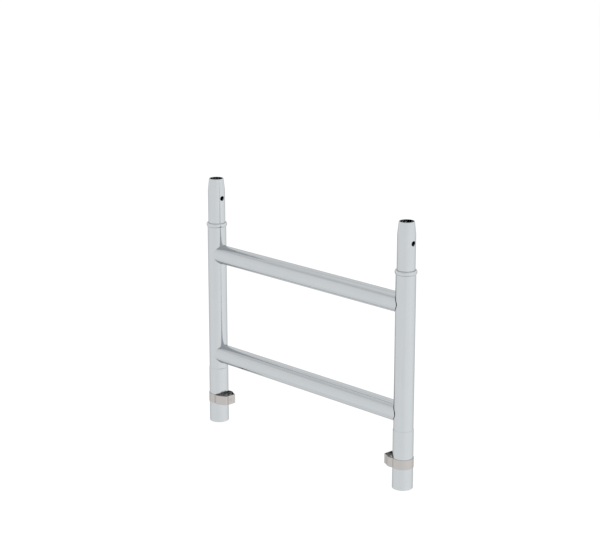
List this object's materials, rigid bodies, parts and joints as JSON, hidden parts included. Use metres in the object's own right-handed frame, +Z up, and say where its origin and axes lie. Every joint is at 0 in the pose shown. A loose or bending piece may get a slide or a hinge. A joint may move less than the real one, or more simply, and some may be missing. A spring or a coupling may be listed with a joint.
{
  "type": "scaffold tower end frame",
  "caption": "Ladder-like aluminium scaffold tower end frame: round uprights joined by round rungs, spigots above, sockets below, spring clips with sliding lock pins.",
  "frame": {"origin": "midway between the uprights' centre lines, at the level of the sockets' open lower ends", "axes": "+X along the rungs from the left upright to the right one, +Y across the frame's thin side, +Z up the uprights towards the spigots"},
  "size_m": [0.7352, 0.0552, 0.681],
  "materials": {
    "upright_tube": "extruded aluminium tube, mill finish, fine lengthwise grain, soft satin sheen",
    "rung_tube": "extruded aluminium tube, mill finish, fine lengthwise grain",
    "spigot_tube": "swaged aluminium tube, satin, light rub marks from the socket that slides over it",
    "weld_bead": "aluminium fillet weld with small ripples",
    "clip_strip": "bent stainless spring strip, warm grey, fine grain along the strip",
    "lock_pin": "turned steel pin, zinc plated, riveted end"
  },
  "bodies": {
    "frame": {"left_upright": "upright_tube", "left_spigot": "spigot_tube", "left_clip_strip": "clip_strip", "right_upright": "upright_tube", "right_spigot": "spigot_tube", "right_clip_strip": "clip_strip", "lower_rung": "rung_tube", "lower_left_weld": "weld_bead", "lower_right_weld": "weld_bead", "upper_rung": "rung_tube", "upper_left_weld": "weld_bead", "upper_right_weld": "weld_bead"},
    "left_pin": {"left_lock_pin": "lock_pin"},
    "right_pin": {"right_lock_pin": "lock_pin"}
  },
  "joints": [
    {"name": "left_pin_slide", "type": "slide", "parent": "frame", "child": "left_pin", "axis": [1, 0, 0], "range_m": [0, 0.008], "deforming": ["left_clip_strip"]},
    {"name": "right_pin_slide", "type": "slide", "parent": "frame", "child": "right_pin", "axis": [-1, 0, 0], "range_m": [0, 0.008], "deforming": ["right_clip_strip"]}
  ]
}
